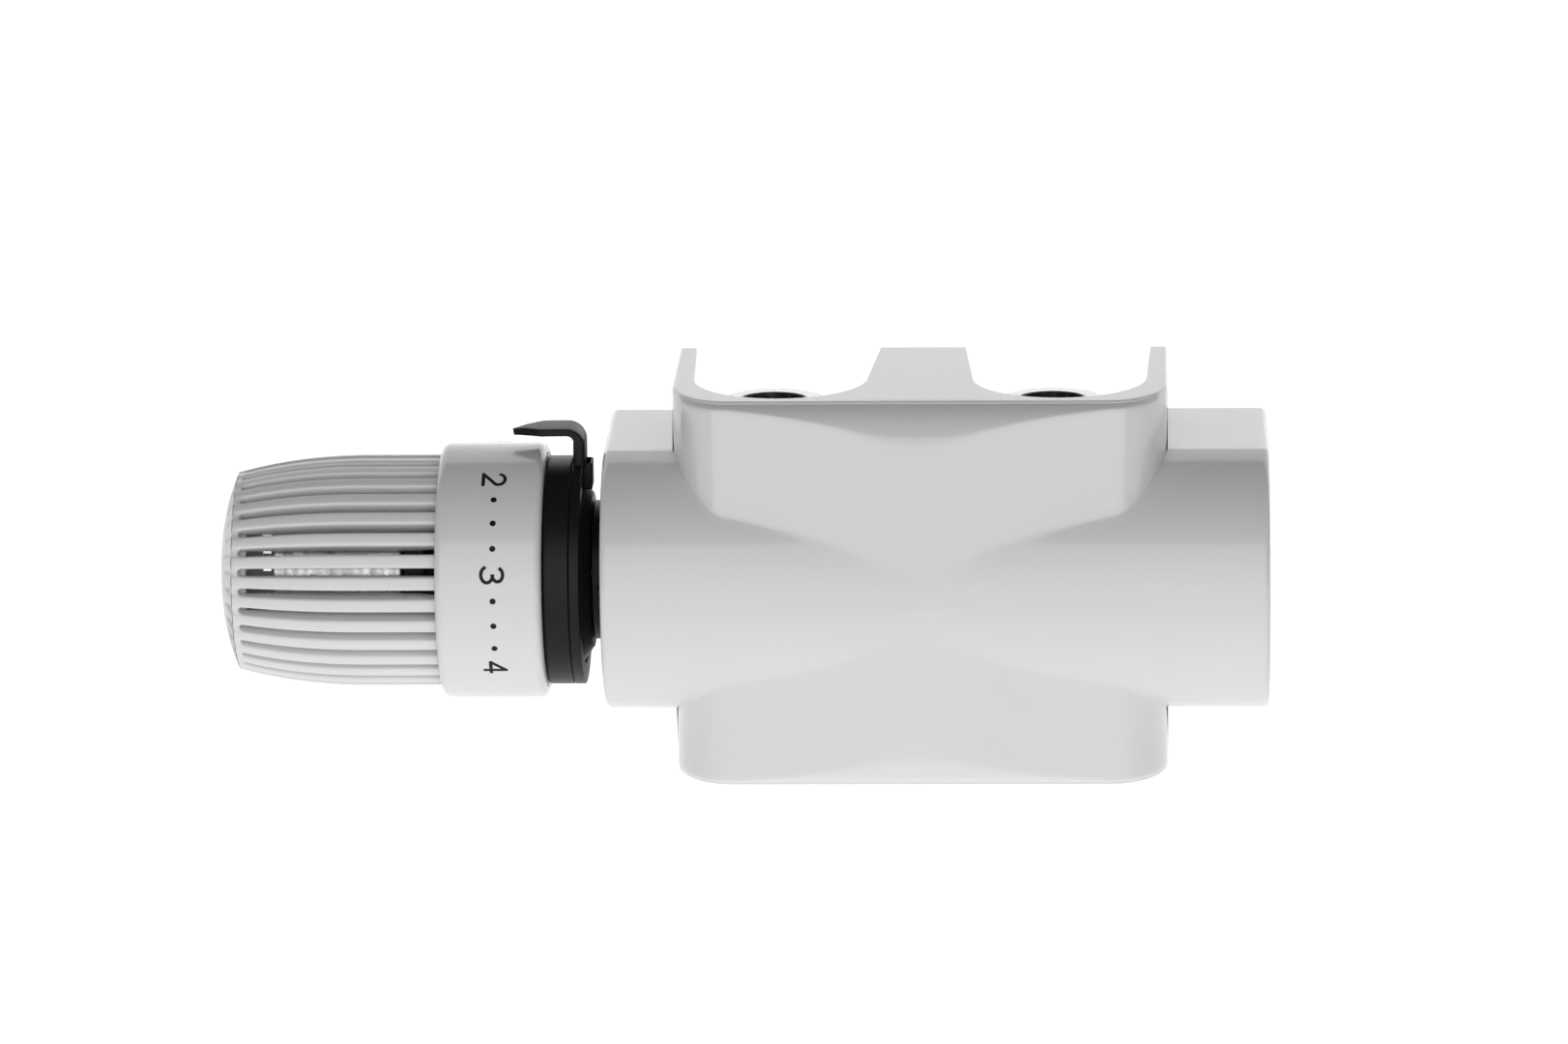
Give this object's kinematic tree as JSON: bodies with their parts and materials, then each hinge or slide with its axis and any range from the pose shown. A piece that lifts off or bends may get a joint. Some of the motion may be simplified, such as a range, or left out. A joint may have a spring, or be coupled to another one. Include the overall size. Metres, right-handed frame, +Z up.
{
  "type": "thermostatic radiator connection valve",
  "caption": "Thermostatic two-pipe radiator connection valve with a ribbed dial head, a lockshield and a glossy clip-on cover.",
  "frame": {"origin": "centre of the bounding box's bottom face, level with the cover's lower deck", "axes": "+X along the valve axis away from the head, +Y towards the wall, +Z up"},
  "size_m": [0.1888, 0.0516, 0.0708],
  "materials": {
    "white_gloss": "high gloss moulded plastic",
    "white_satin": "satin moulded plastic",
    "black_plastic": "satin moulded plastic",
    "nickel_plate": "nickel-plated brass, satin",
    "brass": "turned brass",
    "steel": "stainless wire and rod",
    "aluminium_can": "bright drawn aluminium",
    "rubber": "sealing rubber",
    "fibre": "compressed fibre gasket"
  },
  "bodies": {
    "valve": {"valve_body": "nickel_plate", "union_nut_left": "nickel_plate", "union_nut_right": "nickel_plate", "tail_piece_left": "nickel_plate", "tail_piece_right": "nickel_plate", "flat_gasket_left": "fibre", "flat_gasket_right": "fibre", "tail_seal_left": "rubber", "tail_seal_right": "rubber", "insert_bonnet": "brass", "insert_seal": "rubber", "gland_nut": "brass", "gland_seal": "rubber", "spring_cup": "brass", "return_spring": "steel", "head_union_nut": "nickel_plate", "neck_sleeve": "black_plastic", "base_socket": "black_plastic", "pointer_ring": "black_plastic", "lockshield_bonnet": "brass", "lockshield_seal": "rubber", "lockshield_cap": "nickel_plate"},
    "cover": {"cover_shell": "white_gloss"},
    "handwheel": {"handwheel_cage": "white_satin", "scale_ring": "white_gloss", "end_disc": "white_satin"},
    "sensor": {"sensor_can": "aluminium_can", "sensor_carrier": "black_plastic", "push_rod": "steel", "overtravel_spring": "steel", "carrier_clip": "steel"},
    "spindle": {"valve_spindle": "steel", "valve_disc": "rubber"},
    "plug_lift": {"plug_seal": "rubber"},
    "plug": {"lockshield_plug": "brass"}
  },
  "joints": [
    {"name": "cover_pull_off", "type": "slide", "parent": "valve", "child": "cover", "axis": [0, -1, 0], "range_m": [0, 0.07]},
    {"name": "handwheel_turn", "type": "hinge", "parent": "valve", "child": "handwheel", "pos_m": [0.0306, 0.00215, 0.0354], "axis": [-1, 0, 0], "range_deg": [-57.6, 174]},
    {"name": "sensor_slide", "type": "slide", "parent": "valve", "child": "sensor", "axis": [-1, 0, 0], "range_m": [-0.0004, 0.0012]},
    {"name": "spindle_slide", "type": "slide", "parent": "valve", "child": "spindle", "axis": [-1, 0, 0], "range_m": [-0.0004, 0.0012]},
    {"name": "plug_lift_slide", "type": "slide", "parent": "valve", "child": "plug_lift", "axis": [1, 0, 0], "range_m": [-0.002, 0.002]},
    {"name": "plug_turn", "type": "hinge", "parent": "plug_lift", "child": "plug", "pos_m": [0.0306, 0.00215, 0.0354], "axis": [-1, 0, 0], "range_deg": [-720, 720]}
  ],
  "couplings": [
    {"joint": "sensor_slide", "follows": "handwheel_turn", "m_per_rad": 0.00038197},
    {"joint": "spindle_slide", "follows": "handwheel_turn", "m_per_rad": 0.00038197},
    {"joint": "plug_lift_slide", "follows": "plug_turn", "m_per_rad": 0.000159}
  ]
}
